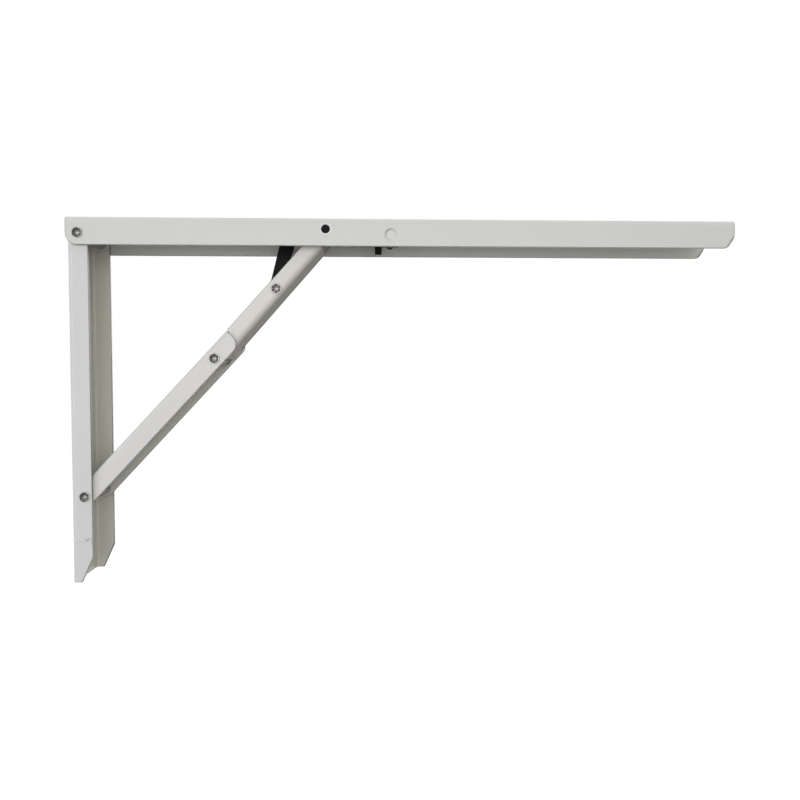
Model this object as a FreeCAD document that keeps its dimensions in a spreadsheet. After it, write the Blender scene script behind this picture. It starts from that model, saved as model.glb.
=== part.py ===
import FreeCAD, Part
import math
import os
import re
import Sketcher

# Folding table bracket: a channel arm hinged on a channel wall leg, held level by a
# two-piece folding brace, with a sliding release bar and a link inside the arm.
# Millimetres. +X runs out from the wall along the arm, +Y across, +Z up.
# Depths are measured down from the arm's top face until the pieces are placed.

SIZES = {
    # arm
    "arm_length": 500.0,
    "arm_width": 52.0,
    "arm_depth": 20.9,
    "arm_wall": 2.0,
    "arm_bend": 2.2,           # inside radius of the fold
    "arm_gap": 0.35,           # from the wall plane to the arm's end
    "arm_tip_cut": 9.0,        # cut corner at the free end
    "arm_tip_height": 8.0,
    "arm_notch": 3.2,          # relief where the web stops short of the flanges
    "top_screw_first": 45.0,
    "top_screw_second": 280.0,
    "top_screw_pitch": 95.0,
    "top_screw_radius": 2.75,
    "dimple_radius": 4.7,
    "dimple_floor": 3.5,
    "dimple_press": 1.0,
    # wall leg
    "leg_height": 273.0,       # arm's top face to the foot of the leg
    "leg_top_gap": 3.6,
    "hinge_gap": 1.0,          # between the leg's sides and the arm's
    "leg_depth": 15.6,
    "leg_wall": 2.0,
    "leg_bend": 2.2,
    "leg_foot_rise": 18.4,     # slanted foot corner
    "leg_foot_cut": 8.4,
    "wall_screw_first": 42.0,
    "wall_screw_pitch": 66.0,
    "wall_screw_radius": 2.75,
    # pivots
    "hinge_out": 9.0,          # arm hinge, from the wall and below the arm's top
    "hinge_drop": 12.1,
    "foot_out": 10.0,          # foot pivot of the brace
    "foot_drop": 208.4,
    "brace_out": 191.2,        # brace pivot in the arm
    "brace_drop": 8.4,
    "knee_sag": 2.0,           # knee past the straight line
    "fold_lean": 0.36,         # lean of the folded strut, degrees
    "guide_out": 239.9,
    "guide_drop": 12.3,
    # lower strut
    "foot_gap": 0.9,           # between its sides and the leg's
    "lower_wall": 1.5,
    "lower_bend": 1.5,
    "lower_web": 7.7,          # pivot line to the web's outer face
    "lower_edge": 6.8,         # pivot line to the free edges
    "lower_tail": 21.5,        # past the knee
    "lower_tail_round": 8.0,
    "tail_play": 0.5,          # from the tail to the upper strut's step
    "lower_web_start": 2.0,
    # upper strut
    "knee_gap": 0.9,           # between its sides and the lower strut's
    "upper_wall": 1.5,
    "upper_bend": 3.5,
    "upper_web": 6.0,
    "upper_edge": 7.3,         # at the knee end, tapering to the arm
    "upper_edge_end": 5.9,
    "upper_relief": 5.4,       # inside the lower strut's tail
    "upper_end": 6.0,          # rounded ends about the pivots
    "upper_web_start": 4.5,
    "upper_web_short": 11.0,   # where the web ends, short of the brace pivot
    "upper_step": 1.0,         # from the relief up to the edge, just past the tail
    "link_from_brace": 57.5,   # link rivet, along the strut from the brace pivot
    # rivets, pins, bushes
    "rivet_radius": 3.0,
    "rivet_head": 4.1,
    "rivet_head_height": 0.7,
    "head_stand": 0.02,        # under each head, so that it turns freely
    "rivet_edge": 0.4,
    "rivet_dish": 2.3,
    "rivet_dish_depth": 0.5,
    "washer_rim": 0.6,         # past the rivet's head
    "pin_radius": 3.2,
    "pin_neck": 2.5,
    "pin_recess": 0.8,
    "pin_bevel": 0.5,
    "bar_bush_rim": 1.1,
    "small_pin_radius": 2.0,
    "small_head": 1.0,
    "small_head_rim": 1.4,
    "link_rivet_radius": 2.5,
    "bush_wall": 1.2,
    "link_spacer_short": 1.4,  # from the strut's side, clear of its bend
    "running_fit": 0.05,
    "side_play": 0.1,
    # link and release bar
    "link_thick": 3.0,
    "link_outer": 7.8,         # pivot line to the outer edge
    "link_end": 3.2,           # pivots to the ends and to the edge next to the web
    "link_shoulder": 8.0,      # where the outer edge starts to slope, short of the bar's pin
    "link_pin_out": 163.6,     # where the link meets the bar, from the wall
    "link_pin_drop": 9.9,
    "bar_thick": 2.5,
    "bar_play": 0.25,          # between the link and the bar
    "bar_above": 5.0,          # pivot line to the upper edge
    "bar_below": 4.0,
    "bar_end": 3.2,
    "bar_travel": 15.2,
    "bar_guide_wall": 2.3,
    "bar_ramp": 12.0,
    "lug_width": 5.6,
    "lug_drop": 22.7,
    "lug_taper": 0.3,
    "lug_back": 9.4,           # lug's middle, back from the guide pin
}

# The channels nest in each other, so each width follows from the next one out.
NESTED = {
    "leg_width": "(arm_width - 2*arm_wall - 2*hinge_gap)",
    "lower_width": "(leg_width - 2*leg_wall - 2*foot_gap)",
    "upper_width": "(lower_width - 2*lower_wall - 2*knee_gap)",
}

document = FreeCAD.newDocument("table_bracket")
sheet = document.addObject("Spreadsheet::Sheet", "sizes")
for row, (name, value) in enumerate(SIZES.items(), start=1):
    sheet.set(f"A{row}", name)
    sheet.set(f"B{row}", str(value))
    sheet.setAlias(f"B{row}", name)
document.recompute()

PLANES = {"across": "YZ_Plane", "side": "XZ_Plane", "flat": "XY_Plane"}
WHOLE_TURN = 360.0
ALONG = FreeCAD.Vector(1, 0, 0)
ACROSS = FreeCAD.Vector(0, 1, 0)
NEAR = 0.001
FIRST_RADIUS = 20.0   # where an outline's corners stand before their formulas move them
parts = []


def size(name):
    return float(sheet.get(name))


def formula(text):
    """An expression on the sheet, from a formula that names its sizes."""
    def to_cell(match):
        word = match.group(0)
        if word in NESTED:
            return formula(NESTED[word])
        return f"sizes.{word}" if word in SIZES else word
    return re.sub(r"[A-Za-z_]+", to_cell, text)


def bind(item, place, text):
    item.setExpression(place, formula(text))


def new_body(label):
    body = document.addObject("PartDesign::Body", label)
    body.Label = label
    return body


def keep(item, label):
    item.Label = label
    parts.append(item)
    return item


def new_sketch(body, plane, centre=("0", "0", "0")):
    """A sketch on an origin plane of its own body, its origin moved to centre."""
    sketch = body.newObject("Sketcher::SketchObject", "profile")
    wanted = PLANES[plane]
    support = [item for item in body.Origin.OriginFeatures if item.Role == wanted][0]
    sketch.AttachmentSupport = (support, [""])
    sketch.MapMode = "FlatFace"
    for axis, text in zip("xyz", centre):
        bind(sketch, f"AttachmentOffset.Base.{axis}", text)
    return sketch


def outline(sketch, corners):
    """A closed outline of straight lines through corners given as formulas."""
    first = sketch.GeometryCount
    count = len(corners)
    turn = 2 * math.pi / count
    ring = [FreeCAD.Vector(FIRST_RADIUS * math.cos(turn * k), FIRST_RADIUS * math.sin(turn * k), 0)
            for k in range(count)]
    for k in range(count):
        sketch.addGeometry(Part.LineSegment(ring[k], ring[(k + 1) % count]), False)
    for k in range(count):
        following = first + (k + 1) % count
        sketch.addConstraint(Sketcher.Constraint("Coincident", first + k, 2, following, 1))
    for k, (across, up) in enumerate(corners):
        for kind, start, text in (("DistanceX", ring[k].x, across), ("DistanceY", ring[k].y, up)):
            index = sketch.addConstraint(Sketcher.Constraint(kind, -1, 1, first + k, 1, start))
            bind(sketch, f"Constraints[{index}]", text)


def circle(sketch, across, up, radius):
    index = sketch.addGeometry(Part.Circle(FreeCAD.Vector(1, 1, 0), FreeCAD.Vector(0, 0, 1), 2), False)
    for kind, text in (("DistanceX", across), ("DistanceY", up)):
        place = sketch.addConstraint(Sketcher.Constraint(kind, -1, 1, index, 3, 1.0))
        bind(sketch, f"Constraints[{place}]", text)
    place = sketch.addConstraint(Sketcher.Constraint("Radius", index, 2.0))
    bind(sketch, f"Constraints[{place}]", radius)


def finish(body, feature):
    """Recomputes the document and stops at a feature that failed."""
    document.recompute()
    if {"Invalid", "Error"} & set(feature.State) or feature.Shape.isNull():
        raise RuntimeError(f"{feature.Label} of {body.Label} did not build: {feature.getStatusString()}")
    return feature


def pad(body, sketch, length):
    feature = body.newObject("PartDesign::Pad", "pad")
    feature.Profile = sketch
    bind(feature, "Length", length)
    return finish(body, feature)


def pierce(body, sketch):
    """Cuts the sketch right through the body, both ways."""
    before = body.Shape.Volume
    feature = body.newObject("PartDesign::Pocket", "cut")
    feature.Profile = sketch
    feature.Type = "ThroughAll"
    feature.SideType = "Symmetric"
    finish(body, feature)
    if body.Shape.Volume >= before:
        raise RuntimeError(f"a cut in {body.Label} removes nothing")
    return feature


def turn_profile(body, sketch, kind):
    """Revolves the sketch about its own upright axis."""
    feature = body.newObject(f"PartDesign::{kind}", "turned")
    feature.Profile = sketch
    feature.ReferenceAxis = (sketch, ["V_Axis"])
    feature.Angle = WHOLE_TURN
    return finish(body, feature)


def rounded(body, direction, wanted, radius):
    """Rounds the straight edges along direction whose middle is wanted(point, box)."""
    box = body.Shape.BoundBox
    names = []
    for number, edge in enumerate(body.Shape.Edges, start=1):
        if edge.Curve.TypeId != "Part::GeomLine":
            continue
        if abs(abs(edge.tangentAt(edge.FirstParameter).dot(direction)) - 1) > NEAR:
            continue
        middle = edge.valueAt((edge.FirstParameter + edge.LastParameter) / 2)
        if wanted(middle, box):
            names.append(f"Edge{number}")
    if not names:
        raise RuntimeError(f"no edge to round in {body.Label}")
    base = body.Tip
    feature = body.newObject("PartDesign::Fillet", "round")
    feature.Base = (base, names)
    bind(feature, "Radius", radius)
    return finish(body, feature)


def channel(label, start, length, width, wall, bend, web, edge):
    """A folded channel along its own X. web and edge are formulas for the heights of the
    web's outer face and of the free edges, and bend is the fold's inside radius."""
    body = new_body(label)
    web_up = not web.startswith("-")
    inner = f"{web} - {wall}" if web_up else f"{web} + {wall}"
    half, inside = f"{width}/2", f"{width}/2 - {wall}"
    sketch = new_sketch(body, "across", ("0", "0", start))
    outline(sketch, [(f"-{half}", edge), (f"-{half}", web), (half, web), (half, edge),
                     (inside, edge), (inside, inner), (f"-({inside})", inner), (f"-({inside})", edge)])
    pad(body, sketch, length)

    def web_height(box):
        return box.ZMax if web_up else box.ZMin

    def outer_fold(point, box):
        return abs(abs(point.y) - box.YMax) < NEAR and abs(point.z - web_height(box)) < NEAR

    def inner_fold(point, box):
        return abs(point.y) < box.YMax - NEAR and box.ZMin + NEAR < point.z < box.ZMax - NEAR

    rounded(body, ALONG, outer_fold, f"{bend} + {wall}")
    rounded(body, ALONG, inner_fold, bend)
    return body


def cut_outline(body, plane, corners):
    sketch = new_sketch(body, plane)
    outline(sketch, corners)
    return pierce(body, sketch)


def cut_holes(body, plane, places, radius):
    sketch = new_sketch(body, plane)
    for across, up in places:
        circle(sketch, across, up, radius)
    return pierce(body, sketch)


def round_end(body, pivot, radius, side):
    """Rounds a flat end about a pivot on the body's X axis; side is -1 at the start, 1 at
    the end. What lies past the pivot and outside the radius is cut away."""
    sketch = new_sketch(body, "side")
    reach = 30
    turn = 0 if side < 0 else math.pi
    arc = Part.ArcOfCircle(Part.Circle(FreeCAD.Vector(0, 0, 0), FreeCAD.Vector(0, 0, 1), 5),
                           turn + math.pi / 2, turn + 3 * math.pi / 2)
    corners = [FreeCAD.Vector(0, -side * 5, 0), FreeCAD.Vector(0, -side * reach, 0),
               FreeCAD.Vector(side * reach, -side * reach, 0), FreeCAD.Vector(side * reach, side * reach, 0),
               FreeCAD.Vector(0, side * reach, 0), FreeCAD.Vector(0, side * 5, 0)]
    sketch.addGeometry(arc, False)
    for start, end in zip(corners, corners[1:]):
        sketch.addGeometry(Part.LineSegment(start, end), False)
    last = len(corners) - 1
    for first, second in [(k, k + 1) for k in range(1, last)]:
        sketch.addConstraint(Sketcher.Constraint("Coincident", first, 2, second, 1))
    sketch.addConstraint(Sketcher.Constraint("Coincident", 0, 1, 1, 1))
    sketch.addConstraint(Sketcher.Constraint("Coincident", last, 2, 0, 2))
    rows = [(0, 3, "0", pivot), (0, 1, None, pivot), (0, 2, None, pivot)]
    for k in range(1, last):
        out, up = corners[k].x / reach, corners[k].y
        rows.append((k, 2, f"{up}", f"{pivot} + {reach * out}" if abs(out) > NEAR else pivot))
    for item, end, up, out in rows:
        index = sketch.addConstraint(Sketcher.Constraint("DistanceX", -1, 1, item, end, 0.0))
        bind(sketch, f"Constraints[{index}]", out)
        if up is not None:
            index = sketch.addConstraint(Sketcher.Constraint("DistanceY", -1, 1, item, end, float(up)))
            bind(sketch, f"Constraints[{index}]", up)
    index = sketch.addConstraint(Sketcher.Constraint("Radius", 0, 5.0))
    bind(sketch, f"Constraints[{index}]", radius)
    return pierce(body, sketch)


def turned(label, corners):
    """A piece turned about its own Y axis, from corners (radius, place along Y)."""
    body = new_body(label)
    sketch = new_sketch(body, "flat")
    outline(sketch, corners)
    turn_profile(body, sketch, "Revolution")
    return body


def tube(label, bore, outer, start, end):
    return turned(label, [(bore, start), (outer, start), (outer, end), (bore, end)])


def both_sides(label, body):
    """The piece and its mirror image across the bracket's middle, as two solids."""
    other = document.addObject("Part::Mirroring", f"{label}_other")
    other.Source = body
    other.Normal = ACROSS
    pair = document.addObject("Part::Compound", label)
    pair.Links = [body, other]
    document.recompute()
    return keep(pair, label)


def place(body, point, angle=0.0):
    """Moves a body to a pivot and turns it in the side view, anticlockwise from +X."""
    turn = FreeCAD.Rotation(ACROSS, -angle)
    body.Placement = FreeCAD.Placement(FreeCAD.Vector(point[0], 0, point[1] + screw_middle), turn)
    return body


# The part's own origin is the middle of the wall screws, on the wall plane: this far below
# the arm's top face.
screw_middle = size("wall_screw_first") + 1.5 * size("wall_screw_pitch")

# Pivots in the side view: (out from the wall, up from the arm's top face)
top_edge = (0, 0)
hinge = (size("hinge_out"), -size("hinge_drop"))
foot = (size("foot_out"), -size("foot_drop"))
brace = (size("brace_out"), -size("brace_drop"))
guide = (size("guide_out"), -size("guide_drop"))
link_pin = (size("link_pin_out"), -size("link_pin_drop"))

# Hanging down, the arm brings its brace pivot near the foot pivot: HANG_FALL above it and
# HANG_SHIFT further out. The brace folds flat when its two lengths differ by HANG, with
# the folded struts leaning by fold_lean. Open, the knee stands past the straight line.
SPAN = "hypot(brace_out - foot_out, foot_drop - brace_drop)"
HANG_FALL = "(foot_drop - hinge_drop - brace_out + hinge_out)"
HANG_SHIFT = "(hinge_out + hinge_drop - brace_drop - foot_out)"
HANG_LINE = f"({HANG_FALL} * cos(fold_lean) + {HANG_SHIFT} * sin(fold_lean))"
HANG = f"(({HANG_LINE} - ({HANG_FALL}^2 + {HANG_SHIFT}^2)/{SPAN})/(1 - {HANG_LINE}/{SPAN}))"
LOWER_LENGTH = f"hypot(({SPAN} + {HANG})/2, knee_sag)"
UPPER_LENGTH = f"hypot(({SPAN} - {HANG})/2, knee_sag)"


def brace_lengths():
    """The two lengths above as numbers, for the pieces' places."""
    span = math.dist(foot, brace)
    lean = math.radians(size("fold_lean"))
    fall = size("foot_drop") - size("hinge_drop") - size("brace_out") + size("hinge_out")
    shift = size("hinge_out") + size("hinge_drop") - size("brace_drop") - size("foot_out")
    line = fall * math.cos(lean) + shift * math.sin(lean)
    hang = (line - (fall ** 2 + shift ** 2) / span) / (1 - line / span)
    return [math.hypot((span + side * hang) / 2, size("knee_sag")) for side in (1, -1)]


lower_length, upper_length = brace_lengths()
line_angle = math.atan2(brace[1] - foot[1], brace[0] - foot[0])
lower_angle = line_angle - math.asin(size("knee_sag") / lower_length)
knee = (foot[0] + lower_length * math.cos(lower_angle), foot[1] + lower_length * math.sin(lower_angle))
upper_angle = math.atan2(brace[1] - knee[1], brace[0] - knee[0])
link_rivet = (brace[0] - size("link_from_brace") * math.cos(upper_angle),
              brace[1] - size("link_from_brace") * math.sin(upper_angle))
link_angle = math.atan2(link_pin[1] - link_rivet[1], link_pin[0] - link_rivet[0])


def make_arm():
    arm = channel("arm", "arm_gap", "arm_length", "arm_width", "arm_wall", "arm_bend", "0", "-arm_depth")
    rounded(arm, ACROSS, lambda point, box: abs(point.x - box.XMin) < NEAR
            and abs(point.z - box.ZMin) < NEAR, "hinge_out - arm_gap - running_fit")
    end = "(arm_gap + arm_length)"
    cut_outline(arm, "side", [(f"{end} - arm_tip_cut", "-arm_depth - 1"), (f"{end} + 1", "-arm_depth - 1"),
                              (f"{end} + 1", "-arm_depth + arm_tip_height"),
                              (end, "-arm_depth + arm_tip_height"),
                              (f"{end} - arm_tip_cut", "-arm_depth")])
    cut_outline(arm, "flat", [(f"{end} - arm_notch", "-arm_width/2 + arm_bend + arm_wall"),
                              (f"{end} + 1", "-arm_width/2 + arm_bend + arm_wall"),
                              (f"{end} + 1", "arm_width/2 - arm_bend - arm_wall"),
                              (f"{end} - arm_notch", "arm_width/2 - arm_bend - arm_wall")])
    cut_holes(arm, "side", [("hinge_out", "-hinge_drop")], "rivet_radius + running_fit")
    cut_holes(arm, "side", [("brace_out", "-brace_drop")], "pin_radius + running_fit")
    screws = ["top_screw_first"] + [f"top_screw_second + {k}*top_screw_pitch" for k in range(3)]
    cut_holes(arm, "flat", [(place_out, "0") for place_out in screws], "top_screw_radius")
    return keep(place(press_dimples(arm), top_edge), "arm")


def press_dimples(arm):
    """A dimple pressed inwards in each flange, hollow outside and raised inside."""
    outer, inner = "arm_width/2", "arm_width/2 - arm_wall"
    for kind, start, rim, floor in (("Groove", outer, "dimple_radius", "dimple_floor"),
                                    ("Revolution", inner, "dimple_radius - 0.3", "dimple_floor")):
        sketch = new_sketch(arm, "flat", ("guide_out", "0", "-guide_drop"))
        for side in ("", "-"):
            face, pressed = f"{side}({start})", f"{side}({start} - dimple_press)"
            outline(sketch, [("0", face), (rim, face), (floor, pressed), ("0", pressed)])
        turn_profile(arm, sketch, kind)
    return arm


def make_leg():
    leg = channel("wall_leg", "leg_top_gap", "leg_height - leg_top_gap", "leg_width", "leg_wall",
                  "leg_bend", "-0", "leg_depth")
    slant = "leg_height - leg_foot_rise"
    cut_outline(leg, "side", [(slant, "leg_depth"), (slant, "leg_depth + 1"),
                              ("leg_height + 1", "leg_depth + 1"),
                              ("leg_height + 1", "leg_depth - leg_foot_cut"),
                              ("leg_height", "leg_depth - leg_foot_cut")])
    rounded(leg, ACROSS, lambda point, box: abs(point.x - box.XMin) < NEAR
            and abs(point.z - box.ZMax) < NEAR, "leg_depth - hinge_out")
    cut_holes(leg, "side", [("hinge_drop", "hinge_out"), ("foot_drop", "foot_out")],
              "rivet_radius + running_fit")
    cut_holes(leg, "flat", [(f"wall_screw_first + {k}*wall_screw_pitch", "0") for k in range(4)],
              "wall_screw_radius")
    return keep(place(leg, top_edge, -90), "wall_leg")


def make_lower_strut():
    strut = channel("lower_strut", "-lower_edge", f"{LOWER_LENGTH} + lower_edge + lower_tail", "lower_width",
                    "lower_wall", "lower_bend", "lower_web", "-lower_edge")
    cut_outline(strut, "flat", [("-lower_edge - 1", "-lower_width/2 + lower_wall"),
                                ("lower_web_start", "-lower_width/2 + lower_wall"),
                                ("lower_web_start", "lower_width/2 - lower_wall"),
                                ("-lower_edge - 1", "lower_width/2 - lower_wall")])
    round_end(strut, "0", "lower_edge", -1)
    rounded(strut, ACROSS, lambda point, box: abs(point.x - box.XMax) < NEAR
            and abs(point.z - box.ZMin) < NEAR, "lower_tail_round")
    cut_holes(strut, "side", [("0", "0"), (LOWER_LENGTH, "0")], "rivet_radius + running_fit")
    place(strut, foot, math.degrees(lower_angle))
    return keep(strut, "lower_strut")


def make_upper_strut():
    strut = channel("upper_strut", "-upper_end", f"{UPPER_LENGTH} + 2*upper_end", "upper_width",
                    "upper_wall", "upper_bend", "-upper_web", "upper_edge")
    inside = "upper_width/2 - upper_wall"
    for start, end in (("-upper_end - 1", "upper_web_start"),
                       (f"{UPPER_LENGTH} - upper_web_short", f"{UPPER_LENGTH} + upper_end + 1")):
        cut_outline(strut, "flat", [(start, f"-({inside})"), (end, f"-({inside})"),
                                    (end, inside), (start, inside)])
    cut_outline(strut, "side", [("-upper_end - 1", "upper_relief"),
                                ("lower_tail + tail_play", "upper_relief"),
                                ("lower_tail + tail_play + upper_step", "upper_edge"),
                                (f"{UPPER_LENGTH} + upper_end + 1", "upper_edge_end"),
                                (f"{UPPER_LENGTH} + upper_end + 1", "upper_edge + 1"),
                                ("-upper_end - 1", "upper_edge + 1")])
    round_end(strut, "0", "upper_end", -1)
    round_end(strut, UPPER_LENGTH, "upper_end", 1)
    cut_holes(strut, "side", [("0", "0")], "rivet_radius + running_fit")
    cut_holes(strut, "side", [(f"{UPPER_LENGTH} - link_from_brace", "0")], "link_rivet_radius + running_fit")
    cut_holes(strut, "side", [(UPPER_LENGTH, "0")], "pin_radius + running_fit")
    place(strut, knee, math.degrees(upper_angle))
    return keep(strut, "upper_strut")


def head_corners(face):
    """Corners of a dished rivet head that stands on the face at this distance from the
    middle, from the head's rim in to the axis."""
    top = f"{face} + rivet_head_height"
    return [("rivet_head", face), ("rivet_head", f"{top} - rivet_edge"), ("rivet_head - rivet_edge", top),
            ("rivet_dish", f"{top} - rivet_dish_depth"), ("0", f"{top} - rivet_dish_depth")]


def through_rivet(label, half_width, point, radius="rivet_radius"):
    """A rivet right through a channel, with a dished head on each side."""
    upper = head_corners(f"{half_width} + head_stand")
    lower = [(out, f"-({height})") for out, height in reversed(upper)]
    shank = [(radius, f"-({half_width} + head_stand)"), (radius, f"{half_width} + head_stand")]
    return keep(place(turned(label, lower + shank + upper), point), label)


def make_rivets():
    inner, face = "arm_width/2 - arm_wall", "arm_width/2 + head_stand"
    stub = turned("arm_hinge_rivet", [("0", inner), ("rivet_radius", inner), ("rivet_radius", face)]
                  + head_corners(face))
    both_sides("arm_hinge_rivets", place(stub, hinge))
    through_rivet("foot_rivet", "leg_width/2", foot)
    through_rivet("knee_rivet", "lower_width/2", knee)
    through_rivet("link_rivet", "upper_width/2", link_rivet, "link_rivet_radius")


def make_bushes():
    bore, outer = "rivet_radius + running_fit", "rivet_radius + bush_wall"
    step, end = "leg_width/2 - leg_wall - side_play", "leg_width/2 - side_play"
    half = [(outer, step), ("rivet_radius", step), ("rivet_radius", end), ("0", end)]
    other_half = [(radius, f"-({height})") for radius, height in reversed(half)]
    spacer = turned("hinge_spacer", other_half + half)
    keep(place(spacer, hinge), "hinge_spacer")
    for label, inner, gap_end, point in (
            ("hinge_washer", "leg_width/2", "arm_width/2 - arm_wall", hinge),
            ("foot_washer", "lower_width/2", "leg_width/2 - leg_wall", foot),
            ("knee_washer", "upper_width/2", "lower_width/2 - lower_wall", knee)):
        washer = tube(label, bore, "rivet_head + washer_rim", f"{inner} + side_play",
                      f"{gap_end} - side_play")
        both_sides(f"{label}s", place(washer, point))
    for label, width, wall, point in (("foot_bush", "lower_width", "lower_wall", foot),
                                      ("knee_bush", "upper_width", "upper_wall", knee)):
        end = f"{width}/2 - {wall} - side_play"
        keep(place(tube(label, bore, outer, f"-({end})", end), point), label)
    spacer = tube("link_spacer", "link_rivet_radius + running_fit", "link_rivet_radius + bush_wall",
                  "link_thick/2 + side_play", "upper_width/2 - upper_wall - link_spacer_short")
    both_sides("link_spacers", place(spacer, link_rivet))


def make_pins():
    end, step = "arm_width/2 - pin_recess", "upper_width/2 - upper_wall - side_play"
    half = [("pin_neck", step), ("pin_radius", step), ("pin_radius", f"{end} - pin_bevel"),
            ("pin_radius - pin_bevel", end), ("0", end)]
    other_half = [(radius, f"-({height})") for radius, height in reversed(half)]
    keep(place(turned("brace_pin", other_half + half), brace), "brace_pin")
    sleeve = tube("brace_sleeve", "pin_radius + running_fit", "pin_radius + bush_wall",
                  "upper_width/2 + side_play", "arm_width/2 - arm_wall - side_play")
    both_sides("brace_sleeves", place(sleeve, brace))
    near_side = "link_thick/2 + bar_play - side_play"
    far_side = "link_thick/2 + bar_play + bar_thick + side_play"
    for prefix, pin_bore, outer, end, point in (
            ("brace_bush", "pin_neck + running_fit", "pin_radius + bar_bush_rim",
             f"{step} - side_play", brace),
            ("guide_bush", "small_pin_radius + running_fit", "small_pin_radius + bar_bush_rim",
             "arm_width/2 - arm_wall - dimple_press - 2*side_play", guide)):
        keep(place(tube(f"{prefix}_near", pin_bore, outer, f"-({end})", near_side), point), f"{prefix}_near")
        keep(place(tube(f"{prefix}_far", pin_bore, outer, far_side, end), point), f"{prefix}_far")
    end = "arm_width/2 - arm_wall - dimple_press - side_play"
    pin = turned("guide_pin", [("0", f"-({end})"), ("small_pin_radius", f"-({end})"),
                               ("small_pin_radius", end), ("0", end)])
    keep(place(pin, guide), "guide_pin")


def flat_piece(label, corners, start, thick):
    """A flat piece in the side view, from start to start + thick along +Y."""
    body = new_body(label)
    sketch = new_sketch(body, "side", ("0", "0", f"-({start} + {thick})"))
    outline(sketch, corners)
    pad(body, sketch, thick)
    return body


def make_link():
    length = math.dist(link_rivet, link_pin)
    sheet_length = f"{length:.6f}"
    link = flat_piece("lock_link", [("-link_end", "-link_end"), (f"{sheet_length} + link_end", "-link_end"),
                                    (f"{sheet_length} + link_end", "link_end"),
                                    (f"{sheet_length} - link_shoulder", "link_outer"),
                                    ("0", "link_outer"), ("-link_end", "link_end")],
                      "-link_thick/2", "link_thick")
    rounded(link, ACROSS, lambda point, box: min(abs(point.x - box.XMin), abs(point.x - box.XMax)) < NEAR,
            "link_end - 0.3")
    cut_holes(link, "side", [("0", "0")], "link_rivet_radius + running_fit")
    cut_holes(link, "side", [(sheet_length, "0")], "small_pin_radius + running_fit")
    keep(place(link, link_rivet, math.degrees(link_angle)), "lock_link")


def make_bar():
    side = "link_thick/2 + bar_play"
    guide_low = "-guide_drop - small_pin_radius - running_fit - bar_guide_wall"
    lug = "guide_out - lug_back"
    top, bottom = "-brace_drop + bar_above", "-brace_drop - bar_below"
    right = "guide_out + small_pin_radius + bar_guide_wall + 2"
    bar = flat_piece("release_bar", [("link_pin_out - bar_end", "-link_pin_drop - bar_end"),
                                     ("link_pin_out + bar_end", "-link_pin_drop - bar_end"),
                                     ("link_pin_out + bar_end + 3", bottom),
                                     ("brace_out + pin_neck + 3", bottom),
                                     ("brace_out + pin_neck + 3 + bar_ramp", guide_low),
                                     (f"{lug} - lug_width/2", guide_low),
                                     (f"{lug} - lug_width/2 + lug_taper", "-lug_drop"),
                                     (f"{lug} + lug_width/2 - lug_taper", "-lug_drop"),
                                     (f"{lug} + lug_width/2", guide_low),
                                     (right, guide_low), (right, top), ("link_pin_out - bar_end", top)],
                     side, "bar_thick")
    rounded(bar, ACROSS, lambda point, box: abs(point.x - box.XMin) < NEAR, "bar_end - 0.3")
    for pivot, drop, neck in (("brace_out", "brace_drop", "pin_neck + running_fit"),
                              ("guide_out", "guide_drop", "small_pin_radius + running_fit")):
        low, high, back = f"-{drop} - ({neck})", f"-{drop} + {neck}", f"{pivot} - bar_travel"
        cut_outline(bar, "side", [(back, low), (pivot, low), (pivot, high), (back, high)])
        cut_holes(bar, "side", [(pivot, f"-{drop}"), (f"{pivot} - bar_travel", f"-{drop}")], neck)
    cut_holes(bar, "side", [("link_pin_out", "-link_pin_drop")], "small_pin_radius + running_fit")
    keep(place(bar, top_edge), "release_bar")


def make_link_rivets():
    """The rivet between link and bar, open between the two: one half in each piece."""
    face, back = "link_thick/2 + bar_play + bar_thick", "link_thick/2 + bar_play"
    head = "small_pin_radius + small_head_rim"
    bar_half = turned("bar_rivet", [("0", back), ("small_pin_radius", back),
                                    ("small_pin_radius", f"{face} + head_stand"),
                                    (head, f"{face} + head_stand"),
                                    (head, f"{face} + small_head"), ("0", f"{face} + small_head")])
    keep(place(bar_half, link_pin), "bar_rivet")
    face, back = "-link_thick/2", "link_thick/2"
    link_half = turned("link_end_rivet", [("0", f"{face} - small_head"), (head, f"{face} - small_head"),
                                          (head, f"{face} - head_stand"),
                                          ("small_pin_radius", f"{face} - head_stand"),
                                          ("small_pin_radius", back), ("0", back)])
    keep(place(link_half, link_pin), "link_end_rivet")


make_arm()
make_leg()
make_lower_strut()
make_upper_strut()
make_rivets()
make_bushes()
make_pins()
make_link()
make_bar()
make_link_rivets()

document.recompute()
broken = [item.Label for item in document.Objects if {"Invalid", "Error"} & set(item.State)]
broken += [item.Label for item in parts if item.Shape.isNull() or not item.Shape.isValid()]
if broken:
    raise RuntimeError(f"these did not build: {broken}")
os.makedirs("parts", exist_ok=True)
for item in parts:
    item.Shape.exportStep(f"parts/{item.Label}.step")
    print(f"{item.Label}: {len(item.Shape.Solids)} solids, {item.Shape.Volume:.1f} mm3")
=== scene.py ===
import math

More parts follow.
